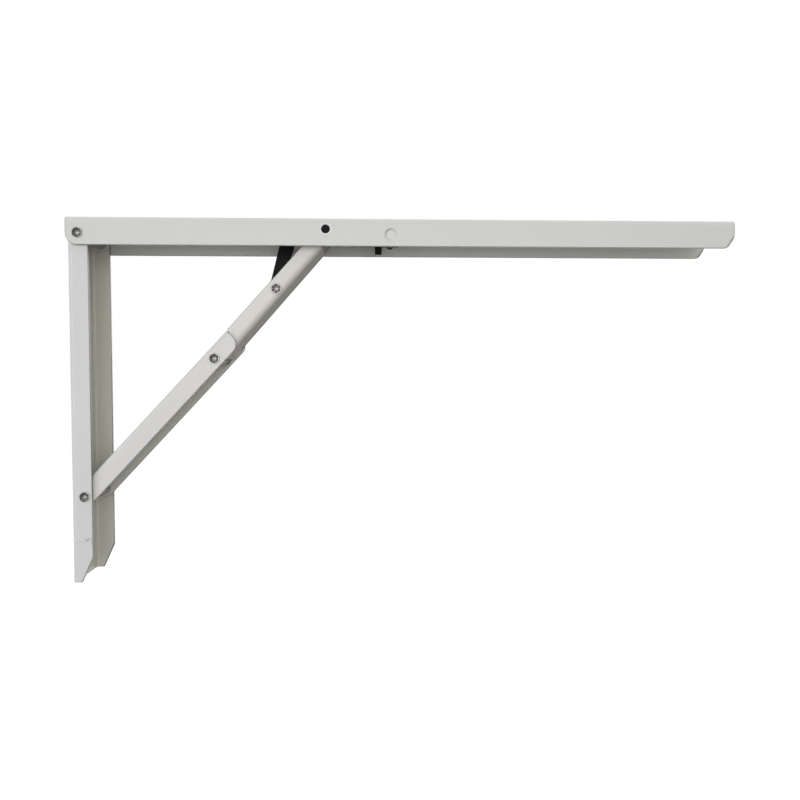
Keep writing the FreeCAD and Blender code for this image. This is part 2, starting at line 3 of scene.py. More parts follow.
import bmesh
import bpy
import numpy as np
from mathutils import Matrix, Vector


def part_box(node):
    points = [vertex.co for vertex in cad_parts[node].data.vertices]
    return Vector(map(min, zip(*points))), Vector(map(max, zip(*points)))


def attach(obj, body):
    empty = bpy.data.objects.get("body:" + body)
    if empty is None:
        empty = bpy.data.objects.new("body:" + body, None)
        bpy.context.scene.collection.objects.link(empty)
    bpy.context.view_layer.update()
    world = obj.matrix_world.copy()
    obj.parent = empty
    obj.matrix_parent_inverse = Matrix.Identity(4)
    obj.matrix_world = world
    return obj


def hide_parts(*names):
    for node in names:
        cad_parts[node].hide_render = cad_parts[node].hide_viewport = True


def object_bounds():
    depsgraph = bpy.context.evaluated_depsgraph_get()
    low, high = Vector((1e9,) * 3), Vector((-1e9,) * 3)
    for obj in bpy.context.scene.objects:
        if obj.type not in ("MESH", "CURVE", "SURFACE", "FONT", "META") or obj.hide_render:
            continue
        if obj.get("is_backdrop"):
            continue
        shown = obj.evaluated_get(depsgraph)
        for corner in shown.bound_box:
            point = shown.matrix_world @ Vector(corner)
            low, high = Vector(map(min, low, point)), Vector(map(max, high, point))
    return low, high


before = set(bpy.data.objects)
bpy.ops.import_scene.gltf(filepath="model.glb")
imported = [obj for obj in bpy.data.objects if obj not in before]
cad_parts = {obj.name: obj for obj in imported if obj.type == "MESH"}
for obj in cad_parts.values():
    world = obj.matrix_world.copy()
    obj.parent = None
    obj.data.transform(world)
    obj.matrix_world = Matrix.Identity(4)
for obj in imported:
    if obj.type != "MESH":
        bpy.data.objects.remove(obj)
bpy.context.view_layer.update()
mm = 0.001

# The studio: everything the picture needs besides the bracket itself
studio = {
    "cameraPlace": (0.2282, -0.5638, 0.0270),   # metres, in the bracket's frame
    "cameraYaw": 1.96,                           # degrees towards the arm's free end
    "cameraPitch": -2.31,
    "focalPixels": 715.4,
    "picturePixels": 800,
    "sensor": 36.0,
    "floorDrop": 0.20,                           # metres below the leg's foot
    "floorSize": 6.0,
    "floorGlow": 0.86,                           # only where it is seen or mirrored
    "paper": (0.34, 0.335, 0.325, 1.0),
    "backgroundWhite": (1.0, 1.0, 1.0, 1.0),
    "skyBright": (0.50, 0.50, 0.50, 1.0),        # soft light from the upper left and the front
    "skyDim": (0.54, 0.53, 0.43, 1.0),           # and from the lower right, weaker and warmer
    "skyTowards": (-0.70, -0.35, 0.62),
    "skyContrast": 0.8,
}
lamps = {
    # name: place, size in metres, watts, tint
    "front": ((0.30, -1.90, -0.05), 1.6, 21.6, (1.0, 0.993, 0.990)),
    "left": ((-1.10, -0.90, 0.15), 0.9, 5.8, (0.97, 0.985, 1.0)),
    "above": ((0.25, -0.25, 1.50), 1.3, 3.0, (1.0, 1.0, 1.0)),
    "rear": ((0.70, 1.60, 0.70), 1.4, 12.0, (0.98, 0.99, 1.0)),
}


def tell(stage):
    print("stage:", stage)


def makeCamera():
    data = bpy.data.cameras.new("camera")
    data.sensor_width = studio["sensor"]
    data.lens = studio["sensor"] * studio["focalPixels"] / studio["picturePixels"]
    data.clip_start = 0.01
    camera = bpy.data.objects.new("camera", data)
    camera.location = studio["cameraPlace"]
    camera.rotation_euler = (math.radians(90 + studio["cameraPitch"]), 0, math.radians(-studio["cameraYaw"]))
    bpy.context.scene.collection.objects.link(camera)
    bpy.context.scene.camera = camera


makeCamera()
tell("frame and camera, " + str(len(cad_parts)) + " nodes")


# Small helpers for node trees
def addNode(tree, kind, **settings):
    made = tree.nodes.new(kind)
    for name, value in settings.items():
        setattr(made, name, value)
    return made


def feed(tree, socket, source):
    # a socket takes a plain value, or a link from another socket
    if isinstance(source, (int, float, tuple)):
        socket.default_value = source
    elif source is not None:
        tree.links.new(source, socket)


def mathNode(tree, operation, *sources, clamp=False):
    made = addNode(tree, "ShaderNodeMath", operation=operation, use_clamp=clamp)
    for slot, source in enumerate(sources):
        feed(tree, made.inputs[slot], source)
    return made.outputs[0]


def vectorNode(tree, operation, *sources, scale=None, output=0):
    made = addNode(tree, "ShaderNodeVectorMath", operation=operation)
    for slot, source in enumerate(sources):
        feed(tree, made.inputs[slot], source)
    if scale is not None:
        feed(tree, made.inputs["Scale"], scale)
    return made.outputs[output]


def splitVector(tree, source):
    made = addNode(tree, "ShaderNodeSeparateXYZ")
    feed(tree, made.inputs[0], source)
    return made.outputs


def mixColour(tree, factor, first, second):
    made = addNode(tree, "ShaderNodeMix", data_type="RGBA")
    for slot, source in ((0, factor), (6, first), (7, second)):
        feed(tree, made.inputs[slot], source)
    return made.outputs[2]


def noiseAt(tree, place, scale, detail=3.0, rough=0.55):
    made = addNode(tree, "ShaderNodeTexNoise", noise_dimensions="3D")
    for title, source in (("Vector", place), ("Scale", scale), ("Detail", detail), ("Roughness", rough)):
        feed(tree, made.inputs[title], source)
    return made.outputs["Fac"]


def newGroup(name, inputs, outputs):
    # an empty shader group; inputs map a name to its default (None for a vector), outputs to a kind
    group = bpy.data.node_groups.new(name, "ShaderNodeTree")
    for title, default in inputs.items():
        kind = "NodeSocketVector" if default is None else "NodeSocketFloat"
        socket = group.interface.new_socket(title, in_out="INPUT", socket_type=kind)
        if default is not None:
            socket.default_value = default
    for title, kind in outputs.items():
        group.interface.new_socket(title, in_out="OUTPUT", socket_type="NodeSocket" + kind)
    return group, addNode(group, "NodeGroupInput").outputs, addNode(group, "NodeGroupOutput").inputs


# The shared effects' own numbers: gains, and offsets that shape a mask from 0 to 1
effects = {
    "peelBroad": (0.12, 1.6),        # the broad noise: its scale against the fine one, and its share
    "wearAndHighlightGain": 6.0,
    "edgeShadeGain": 3.4,
    "inward": -150.0,                # per metre off the middle, for faces turned to the middle
    "webFacing": (4.0, -1.0),
    "wallSlack": (1.05, 1.1),        # the wall ends and the inside starts between these shares of it
    "pastWall": 3000.0,              # per metre
    "withinWall": 6000.0,
    "notBack": (0.3, 8.0),
    "notSide": (0.35, 10.0),
    "crumble": (900.0, 1.8, -0.2),   # a scratch's noise: scale, gain and offset
}


def peelGroup():
    # orange peel: a fine noise plus a share of a broad one, as a height for a bump
    group, entry, leave = newGroup("orangePeel", {"Place": None, "Scale": 600.0}, {"Height": "Float"})
    fine = noiseAt(group, entry["Place"], entry["Scale"], 2.0, 0.45)
    shrink, share = effects["peelBroad"]
    broad = noiseAt(group, entry["Place"], mathNode(group, "MULTIPLY", entry["Scale"], shrink), 1.0, 0.4)
    feed(group, leave["Height"], mathNode(group, "MULTIPLY_ADD", broad, share, fine))
    return group


def edgeGroup():
    # edge wear on the black steel, painted highlight on the coat: one minus the cosine between the
    # true normal and one rounded off over the reach, times a gain and a noise; the second mask, painted
    # edge shade, has a gain of its own and no noise, and comes near 1 only at the very edge; the rounded
    # normal comes out too
    group, entry, leave = newGroup("edgeWearAndHighlight", {"Place": None, "Reach": 0.0006, "Breakup": 90.0},
                                   {"WearAndHighlight": "Float", "EdgeShade": "Float", "Normal": "Vector"})
    bevel = addNode(group, "ShaderNodeBevel", samples=6)
    feed(group, bevel.inputs["Radius"], entry["Reach"])
    plain = addNode(group, "ShaderNodeNewGeometry").outputs["Normal"]
    turned = vectorNode(group, "DOT_PRODUCT", bevel.outputs[0], plain, output="Value")
    away = mathNode(group, "SUBTRACT", 1.0, turned)
    noise = noiseAt(group, entry["Place"], entry["Breakup"], 3.0, 0.6)
    strong = mathNode(group, "MULTIPLY", away, effects["wearAndHighlightGain"])
    feed(group, leave["WearAndHighlight"], mathNode(group, "MULTIPLY", strong, noise, clamp=True))
    feed(group, leave["EdgeShade"], mathNode(group, "MULTIPLY", away, effects["edgeShadeGain"], clamp=True))
    feed(group, leave["Normal"], bevel.outputs[0])
    return group


def channelGroup():
    # Inner is 1 on faces that look into a channel: a flange's inner face has a normal against
    # its own side, the web's has one along Open and lies further in than the wall.
    # Cut is 1 on the sheet's sheared edges: within the wall, and not facing sideways or back.
    group, entry, leave = newGroup(
        "channelSide", {"Place": None, "Facing": None, "Open": None, "Half": 0.02, "Wall": 0.002},
        {"Inner": "Float", "Cut": "Float"})
    place, facing = splitVector(group, entry["Place"]), splitVector(group, entry["Facing"])
    (openGain, openOffset), (inner, outer) = effects["webFacing"], effects["wallSlack"]
    (backOffset, backGain), (sideLimit, sideGain) = effects["notBack"], effects["notSide"]
    depth = mathNode(group, "SUBTRACT", entry["Half"], mathNode(group, "ABSOLUTE", place["Y"]))
    against = mathNode(group, "MULTIPLY", place["Y"], facing["Y"])
    inward = mathNode(group, "MULTIPLY", against, effects["inward"])
    flange = mathNode(group, "SUBTRACT", inward, 0.5, clamp=True)
    openness = vectorNode(group, "DOT_PRODUCT", entry["Facing"], entry["Open"], output="Value")
    past = mathNode(group, "MULTIPLY_ADD", entry["Wall"], -inner, depth)
    within = mathNode(group, "SUBTRACT", mathNode(group, "MULTIPLY", entry["Wall"], outer), depth)
    outOfMouth = mathNode(group, "MULTIPLY_ADD", openness, openGain, openOffset, clamp=True)
    deep = mathNode(group, "MULTIPLY", past, effects["pastWall"], clamp=True)
    web = mathNode(group, "MULTIPLY", outOfMouth, deep)
    feed(group, leave["Inner"], mathNode(group, "MAXIMUM", flange, web))
    notBack = mathNode(group, "MULTIPLY", mathNode(group, "ADD", openness, backOffset), backGain, clamp=True)
    sideways = mathNode(group, "SUBTRACT", sideLimit, mathNode(group, "ABSOLUTE", facing["Y"]))
    notSide = mathNode(group, "MULTIPLY", sideways, sideGain, clamp=True)
    thin = mathNode(group, "MULTIPLY", within, effects["withinWall"], clamp=True)
    cutFacing = mathNode(group, "MULTIPLY", notBack, notSide)
    feed(group, leave["Cut"], mathNode(group, "MULTIPLY", cutFacing, thin))
    return group


def strokeGroup():
    # one scratch: the distance to the straight run from Start to End, faded over Width
    # and broken by noise
    group, entry, leave = newGroup(
        "scratchStroke", {"Place": None, "Start": None, "End": None, "Width": 0.0004, "Hard": 1.0},
        {"Mask": "Float"})
    run = vectorNode(group, "SUBTRACT", entry["End"], entry["Start"])
    away = vectorNode(group, "SUBTRACT", entry["Place"], entry["Start"])
    along = mathNode(group, "DIVIDE", vectorNode(group, "DOT_PRODUCT", away, run, output="Value"),
                     vectorNode(group, "DOT_PRODUCT", run, run, output="Value"), clamp=True)
    nearest = vectorNode(group, "SCALE", run, scale=along)
    gap = vectorNode(group, "LENGTH", vectorNode(group, "SUBTRACT", away, nearest), output="Value")
    soft = mathNode(group, "SUBTRACT", 1.0, mathNode(group, "DIVIDE", gap, entry["Width"]), clamp=True)
    scale, gain, offset = effects["crumble"]
    crumble = mathNode(group, "MULTIPLY_ADD", noiseAt(group, entry["Place"], scale, 3.0, 0.7), gain, offset)
    hard = mathNode(group, "MULTIPLY", soft, entry["Hard"], clamp=True)
    feed(group, leave["Mask"], mathNode(group, "MULTIPLY", hard, crumble, clamp=True))
    return group


groups = {"peel": peelGroup(), "edge": edgeGroup(), "channel": channelGroup(), "stroke": strokeGroup()}


def useGroup(tree, name, place, **values):
    made = addNode(tree, "ShaderNodeGroup", node_tree=groups[name])
    feed(tree, made.inputs["Place"], place)
    for title, source in values.items():
        feed(tree, made.inputs[title], source)
    return made.outputs


def startMaterial(name):
    material = bpy.data.materials.new(name)
    material.use_nodes = True
    tree = material.node_tree
    tree.nodes.clear()
    shader = addNode(tree, "ShaderNodeBsdfPrincipled")
    output = addNode(tree, "ShaderNodeOutputMaterial")
    feed(tree, output.inputs["Surface"], shader.outputs[0])
    return material, tree, shader, addNode(tree, "ShaderNodeTexCoord").outputs


def addBump(tree, shader, height, distance, normal=None):
    bump = addNode(tree, "ShaderNodeBump")
    for title, source in (("Distance", distance), ("Height", height), ("Normal", normal)):
        feed(tree, bump.inputs[title], source)
    feed(tree, shader.inputs["Normal"], bump.outputs[0])


def addRoughness(tree, shader, noise, amounts):
    # the least roughness plus a swing times the noise
    least, swing = amounts
    feed(tree, shader.inputs["Roughness"], mathNode(tree, "MULTIPLY_ADD", noise, swing, least))


# Powder coat: what the bracket's white sheet is finished in
powderCoat = {
    "cutEdge": (0.200, 0.200, 0.185, 1.0),     # sheared edges, darker
    "cutShare": 0.75,
    "roughness": (0.34, 0.10),                 # least, and how much the noise adds
    "roughScale": 45.0,                        # waves per metre, as every scale here
    "peelScale": 620.0,                        # orange peel
    "peelDepth": 0.008 * mm,
    "cloudScale": 9.0,                         # broad drifts of tone
    "cloudDepth": 0.03,
    "paintedEdgeHighlight": (0.84, 0.84, 0.80, 1.0),      # painted highlight: the coat is lighter beside an edge
    "edgeHighlightShare": 0.9,
    "edgeReach": 1.2 * mm,
    "edgeBreakup": 140.0,
    "paintedEdgeShade": (0.07, 0.07, 0.06, 1.0),        # and painted shade as a dark line on the edge itself
    "edgeShadeStart": 0.22,
    "edgeShadeGain": 4.0,
    "bendShadingReach": 5.0 * mm,                     # how deep the painted light and shade at the bends reaches
}
# the first tone below serves real scuffs and the painted shade in the arm's dimple; the glint tone is a
# painted highlight, and the far bend's dark tone painted shade
scuffAndShadeTone = (0.22, 0.22, 0.21, 1.0)
cutTone = (0.09, 0.09, 0.08, 1.0)
farBendShadeTone = (0.03, 0.03, 0.025, 1.0)
rubTone = (0.66, 0.66, 0.60, 1.0)
glintTone = (0.88, 0.88, 0.86, 1.0)
# x, z, x, z in millimetres on the face at y, then half width, strength, hardness and tone
legMarks = [
    (9.77, -98.74, 11.77, -100.03, -23.0, 0.60, 0.65, 1.6, scuffAndShadeTone),
    (11.77, -100.03, 13.18, -99.05, -23.0, 0.65, 0.85, 1.6, scuffAndShadeTone),
    (11.77, -100.03, 10.06, -101.55, -23.0, 0.65, 0.80, 1.6, scuffAndShadeTone),
    (14.88, -98.59, 14.73, -102.38, -23.0, 0.55, 0.60, 1.4, scuffAndShadeTone),
    (5.54, -100.79, 8.36, -102.23, -23.0, 0.70, 0.25, 1.4, scuffAndShadeTone),
    (3.50, -102.38, 3.74, -102.38, -23.0, 0.60, 0.55, 1.5, scuffAndShadeTone),
    (5.70, 84.5, 7.90, 83.0, 21.0, 0.9, 0.55, 1.4, rubTone),
    (5.20, 53.0, 7.60, 51.2, 21.0, 0.9, 0.50, 1.4, rubTone),
    # a painted highlight along the leg's upper left bend
    (1.31, 121.6, 1.10, 109.0, -22.8, 0.8, 0.95, 2.5, glintTone),
    # the sheared foot: dark lines along the cuts
    (15.6, -113.1, 7.7, -131.6, -23.0, 0.65, 0.75, 2.2, cutTone),
    (15.6, -113.1, 7.7, -131.6, 21.0, 1.00, 0.90, 2.2, cutTone),
    (7.7, -131.8, 2.0, -131.8, 21.0, 0.65, 0.75, 2.2, cutTone),
]
upperMarks = [
    # painted shade along the upper strut's far bend
    (122.8, 45.6, 185.9, 116.7, 12.5, 3.2, 0.9, 2.6, farBendShadeTone),
]
armMarks = [
    # the sheared tip
    (500.3, 138.0, 500.3, 129.7, -26.0, 0.45, 0.60, 2.2, cutTone),
    (500.5, 129.6, 493.7, 120.0, -26.0, 0.60, 0.90, 2.2, cutTone),
    (500.2, 128.0, 494.1, 120.4, 24.0, 0.80, 0.90, 2.2, cutTone),
    # the pressed dimple: painted shade along its upper left wall and a painted highlight along the lower
    # right one
    (236.2, 130.6, 237.6, 132.3, -25.6, 1.1, 0.42, 1.3, scuffAndShadeTone),
    (237.6, 132.3, 240.0, 133.1, -25.6, 1.0, 0.34, 1.2, scuffAndShadeTone),
    (243.5, 126.9, 241.9, 125.2, -25.6, 1.4, 0.50, 1.4, glintTone),
    (243.9, 129.0, 243.5, 126.9, -25.6, 1.1, 0.35, 1.4, glintTone),
    # a painted highlight as a bright ring round the brace pin's hole, on both sides
    (191.2, 132.6, 191.3, 132.6, -26.0, 4.55, 0.80, 7.0, glintTone),
    (191.2, 132.6, 191.3, 132.6, 26.0, 4.55, 0.80, 7.0, glintTone),
    # a speck beside it
    (201.1, 137.6, 201.4, 137.4, -26.0, 0.55, 0.30, 1.5, scuffAndShadeTone),
]
sheetParts = {
    # tones outside and inside (the inside one a painted warm shade), way the channel opens, wall,
    # painted light (above 0) and shade (below 0) at the bends and how sharply it sets in, specular level,
    # marks
    "arm": {"tone": (0.622, 0.624, 0.610, 1.0), "inside": (0.626, 0.625, 0.604, 1.0), "open": (0, 0, -1),
            "wall": 2.0 * mm, "bendLightAndShade": 0.06, "bendPower": 1.5, "shine": 0.5, "marks": armMarks},
    "wall_leg": {"tone": (0.630, 0.630, 0.638, 1.0), "inside": (0.626, 0.620, 0.566, 1.0), "open": (1, 0, 0),
                 "wall": 2.0 * mm, "bendLightAndShade": -0.04, "bendPower": 1.5, "shine": 0.5, "marks": legMarks},
    "lower_strut": {"tone": (0.655, 0.648, 0.650, 1.0), "inside": (0.626, 0.623, 0.590, 1.0),
                    "open": (0.707, 0, -0.707), "wall": 1.5 * mm, "bendLightAndShade": -0.04, "bendPower": 1.5,
                    "shine": 0.5, "marks": []},
    # the upper strut's outside tone is painted lighter than the other parts' against the shade it falls in;
    # its inside tone is painted shade
    "upper_strut": {"tone": (0.745, 0.735, 0.712, 1.0), "inside": (0.626, 0.620, 0.566, 1.0),
                    "open": (-0.75, 0, 0.66), "wall": 1.5 * mm, "bendLightAndShade": -0.24, "bendPower": 2.2,
                    "shine": 0.0, "marks": upperMarks},
}


def meshPoints(node):
    # the node's points, one row each
    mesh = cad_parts[node].data
    points = np.empty(len(mesh.vertices) * 3)
    mesh.vertices.foreach_get("co", points)
    return points.reshape(-1, 3)


def webPlane(node, facing):
    # the least reach of the node's points along the way its channel opens
    return float((meshPoints(node) @ np.array(facing)).min())


def halfWidth(node):
    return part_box(node)[1].y


def makePowderCoat(name, look):
    coat, half = powderCoat, halfWidth(name)
    material, tree, shader, spots = startMaterial(name + "Coat")
    place = spots["Object"]
    side = useGroup(tree, "channel", place, Facing=spots["Normal"], Open=look["open"], Half=half,
                    Wall=look["wall"])
    edge = useGroup(tree, "edge", place, Reach=coat["edgeReach"], Breakup=coat["edgeBreakup"])
    drift = mathNode(tree, "MULTIPLY_ADD", noiseAt(tree, place, coat["cloudScale"], 2.0, 0.5),
                     coat["cloudDepth"] * 2, 1.0 - coat["cloudDepth"])
    # painted light and shade at the bends: 1 at the back of the web and 0 from the bends' reach on, the way
    # the channel opens
    along = vectorNode(tree, "DOT_PRODUCT", place, look["open"], output="Value")
    offBack = mathNode(tree, "ADD", along, -webPlane(name, look["open"]))
    share = mathNode(tree, "DIVIDE", offBack, coat["bendShadingReach"])
    bendShading = mathNode(tree, "POWER", mathNode(tree, "SUBTRACT", 1.0, share, clamp=True), look["bendPower"])
    shade = mathNode(tree, "MULTIPLY_ADD", bendShading, look["bendLightAndShade"], drift)
    # painted warm tint and shade on the faces that look into the channel
    tone = mixColour(tree, side["Inner"], look["tone"], look["inside"])
    tone = mixColour(tree, mathNode(tree, "MULTIPLY", side["Cut"], coat["cutShare"]), tone, coat["cutEdge"])
    colour = vectorNode(tree, "SCALE", tone, scale=shade)
    # painted highlight along the edges
    colour = mixColour(tree, mathNode(tree, "MULTIPLY", edge["WearAndHighlight"], coat["edgeHighlightShare"]), colour,
                       coat["paintedEdgeHighlight"])
    # painted shade: a dark line along every edge
    overEdgeShade = mathNode(tree, "SUBTRACT", edge["EdgeShade"], coat["edgeShadeStart"])
    rim = mathNode(tree, "MULTIPLY", overEdgeShade, coat["edgeShadeGain"], clamp=True)
    colour = mixColour(tree, rim, colour, coat["paintedEdgeShade"])
    for x0, z0, x1, z1, y, width, strength, hard, mark in look["marks"]:
        stroke = useGroup(tree, "stroke", place, Start=(x0 * mm, y * mm, z0 * mm),
                          End=(x1 * mm, y * mm, z1 * mm), Width=width * mm, Hard=hard)
        colour = mixColour(tree, mathNode(tree, "MULTIPLY", stroke["Mask"], strength), colour, mark)
    feed(tree, shader.inputs["Base Color"], colour)
    addRoughness(tree, shader, noiseAt(tree, place, coat["roughScale"]), coat["roughness"])
    shader.inputs["Specular IOR Level"].default_value = look["shine"]
    peel = useGroup(tree, "peel", place, Scale=coat["peelScale"])["Height"]
    addBump(tree, shader, peel, coat["peelDepth"], edge["Normal"])
    return material


zincPlate = {
    "colour": (0.36, 0.355, 0.345, 1.0),
    "dirt": (0.060, 0.058, 0.052, 1.0),
    "dirtShare": 0.45,
    "dirtScale": 520.0,
    "dirtContrast": (3.0, -1.5),               # gain and offset on its noise
    "hollow": (0.045, 0.044, 0.041, 1.0),      # painted shade down in a rivet's hollow and round its ring
    "roughness": (0.26, 0.20),
    "grain": 900.0,
    "grainDepth": 0.02 * mm,
}
shadedZincLook = {
    "colour": (0.200, 0.196, 0.178, 1.0),
    "mottle": (0.320, 0.314, 0.290, 1.0),
    "mottleScale": 260.0,
    "mottleDepth": 0.02 * mm,
    "roughness": (0.45, 0.20),
    "shine": 0.2,                              # specular level
}
blackSteel = {
    "colour": (0.0050, 0.0050, 0.0052, 1.0),
    "worn": (0.022, 0.021, 0.020, 1.0),
    "edgeReach": 0.4 * mm,
    "edgeBreakup": 300.0,
    "dust": 0.05,
    "dustScale": 160.0,
    "roughness": (0.38, 0.18),
    "roughScale": 240.0,
    "peelScale": 1500.0,
    "peelDepth": 0.01 * mm,
    "shine": 0.08,
}


def makeZincPlate():
    zinc = zincPlate
    material, tree, shader, spots = startMaterial("zincPlate")
    place = spots["Object"]
    grain = noiseAt(tree, place, zinc["grain"], 4.0, 0.7)
    gain, offset = zinc["dirtContrast"]
    grime = mathNode(tree, "MULTIPLY_ADD", noiseAt(tree, place, zinc["dirtScale"]), gain, offset, clamp=True)
    share = mathNode(tree, "MULTIPLY", grime, zinc["dirtShare"])
    tone = mixColour(tree, share, zinc["colour"], zinc["dirt"])
    # the rivets' painted shade, carried by their hollow attribute
    hollow = addNode(tree, "ShaderNodeAttribute", attribute_name="hollow").outputs["Fac"]
    feed(tree, shader.inputs["Base Color"], mixColour(tree, hollow, tone, zinc["hollow"]))
    shader.inputs["Metallic"].default_value = 1.0
    addRoughness(tree, shader, grain, zinc["roughness"])
    addBump(tree, shader, grain, zinc["grainDepth"])
    return material


def makeShadedZinc():
    # bushes, washers and spacers inside the channels, zinc darkened as painted shade
    material, tree, shader, spots = startMaterial("zincInShade")
    mottle = noiseAt(tree, spots["Object"], shadedZincLook["mottleScale"], 3.0, 0.6)
    feed(tree, shader.inputs["Base Color"], mixColour(tree, mottle, shadedZincLook["colour"], shadedZincLook["mottle"]))
    shader.inputs["Specular IOR Level"].default_value = shadedZincLook["shine"]
    addRoughness(tree, shader, mottle, shadedZincLook["roughness"])
    addBump(tree, shader, mottle, shadedZincLook["mottleDepth"])
    return material


def makeBlackSteel():
    black = blackSteel
    material, tree, shader, spots = startMaterial("blackSteel")
    place = spots["Object"]
    edge = useGroup(tree, "edge", place, Reach=black["edgeReach"], Breakup=black["edgeBreakup"])
    dusty = mathNode(tree, "MULTIPLY", noiseAt(tree, place, black["dustScale"]), black["dust"])
    share = mathNode(tree, "MAXIMUM", edge["WearAndHighlight"], dusty)
    feed(tree, shader.inputs["Base Color"], mixColour(tree, share, black["colour"], black["worn"]))
    shader.inputs["Specular IOR Level"].default_value = black["shine"]
    addRoughness(tree, shader, noiseAt(tree, place, black["roughScale"]), black["roughness"])
    peel = useGroup(tree, "peel", place, Scale=black["peelScale"])["Height"]
    addBump(tree, shader, peel, black["peelDepth"], edge["Normal"])
    return material


def dress(material, *nodes):
    for node in nodes:
        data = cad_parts[node].data
        data.materials.clear()
        data.materials.append(material)


coats = {name: makePowderCoat(name, look) for name, look in sheetParts.items()}
zinc, shadedZinc, blackCoat = makeZincPlate(), makeShadedZinc(), makeBlackSteel()
for name, coat in coats.items():
    dress(coat, name)
# painted shade: the inner bushes, washers and spacers are made dark
dress(shadedZinc, "hinge_spacer", "hinge_washers", "foot_washers", "knee_washers", "foot_bush", "knee_bush",
      "link_spacers", "brace_sleeves")
dress(zinc, "arm_hinge_rivets", "foot_rivet", "knee_rivet", "link_rivet")
dress(blackCoat, "brace_bush_near", "brace_bush_far", "guide_bush_near", "guide_bush_far", "brace_pin",
      "guide_pin", "lock_link", "release_bar", "bar_rivet", "link_end_rivet")
tell("materials on the sheet parts, rivets and bar")


def addPiece(name, mesh, body, node, material):
    piece = bpy.data.objects.new(name, mesh)
    bpy.context.scene.collection.objects.link(piece)
    mesh.materials.clear()
    mesh.materials.append(material)
    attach(piece, body)
    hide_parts(node)


# The arm's free end: its flanges' lower corners are sheared off and rounded
armTip = {
    "cutNow": 9.0 * mm,        # where the node's own straight cut starts, back from the end
    "cutStart": 5.0 * mm,      # where the fuller one starts
    "cutHeight": 8.0 * mm,
    "corner": 2.4 * mm,        # how far the rounding reaches from each corner
    "steps": 4,
    "near": 0.3 * mm,          # a point this close to a corner is taken for it
    "thick": 4.0 * mm,         # an edge across the sheet is shorter than this
    "flatOver": 0.001,         # square metres: the webs and flanges are shaded flat
    "sharpOver": 20,           # degrees
}
mergeReach = 0.001 * mm


def makeArmSheet():
    # The node's mesh, merged; the lower corner of each flange's cut moves towards the end, then
    # both corners are rounded over with straight facets of a circle.
    tip = armTip
    low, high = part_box("arm")
    work = bmesh.new()
    work.from_mesh(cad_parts["arm"].data)
    bmesh.ops.remove_doubles(work, verts=work.verts, dist=mergeReach)
    bmesh.ops.dissolve_limit(work, angle_limit=math.radians(0.2), verts=work.verts, edges=work.edges)
    corners = []
    for vert in work.verts:
        back, up = high.x - vert.co.x, vert.co.z - low.z
        atBottom = abs(back - tip["cutNow"]) < tip["near"] and abs(up) < tip["near"]
        atEnd = abs(back) < tip["near"] and abs(up - tip["cutHeight"]) < tip["near"]
        if atBottom:
            vert.co.x = high.x - tip["cutStart"]
        if atBottom or atEnd:
            corners.append(vert)
    across = []
    for edge in work.edges:
        first, last = edge.verts
        run = first.co - last.co
        atCorners = first in corners and last in corners
        if atCorners and abs(run.x) + abs(run.z) < tip["near"] and abs(run.y) < tip["thick"]:
            across.append(edge)
    tell("arm tip, " + str(len(across)) + " corners to round")
    bmesh.ops.bevel(work, geom=across, offset=tip["corner"], offset_type="OFFSET", segments=tip["steps"],
                    profile=0.5, affect="EDGES", clamp_overlap=True)
    mesh = bpy.data.meshes.new("armSheet")
    work.to_mesh(mesh)
    work.free()
    if "custom_normal" in mesh.attributes:
        mesh.attributes.remove(mesh.attributes["custom_normal"])
    area = np.empty(len(mesh.polygons))
    mesh.polygons.foreach_get("area", area)
    mesh.polygons.foreach_set("use_smooth", area < tip["flatOver"])
    mesh.set_sharp_from_angle(angle=math.radians(tip["sharpOver"]))
    addPiece("armSheet", mesh, "arm", "arm", coats["arm"])


makeArmSheet()
tell("arm with its rounded tip")

# Rivets: semi-tubular, each end flared over into a ring round a dark hollow
rivetLook = {
    "rim": 4.1 * mm,
    "rise": 0.72 * mm,         # height of the ring over the sheet
    "seat": 0.02 * mm,         # the flare's underside stands this far off the sheet
    "shank": 3.0 * mm,
    "rimRound": 0.30 * mm,
    "ringInner": 3.30 * mm,
    "hollowFloor": 1.45 * mm,
    "hollowDepth": 1.5 * mm,
    "pip": 0.60 * mm,          # the drill's cone stands up in the middle of the hollow
    "pipFoot": 0.80 * mm,
    "wallCurve": (0.7, 1.3),   # powers of the wall's radius and height
    # the darkness below is painted shade in and round the rivet's hollow
    "pipShade": 0.58,           # darkness from 0 to 1: at the cone's foot,
    "wallShade": (0.88, 0.12),  # at the wall's foot, and how much it gains upwards,
    "ringShade": 0.3,            # and on the ring's outside
    "shadeLean": 0.16,          # the painted shade in the hollow lies heavier on its upper left
    "splits": 6,               # the flare's folds, seen as a star in the hollow
    "splitDepth": 0.15,
    "around": 96,
    "sharpOver": 50,           # degrees
}


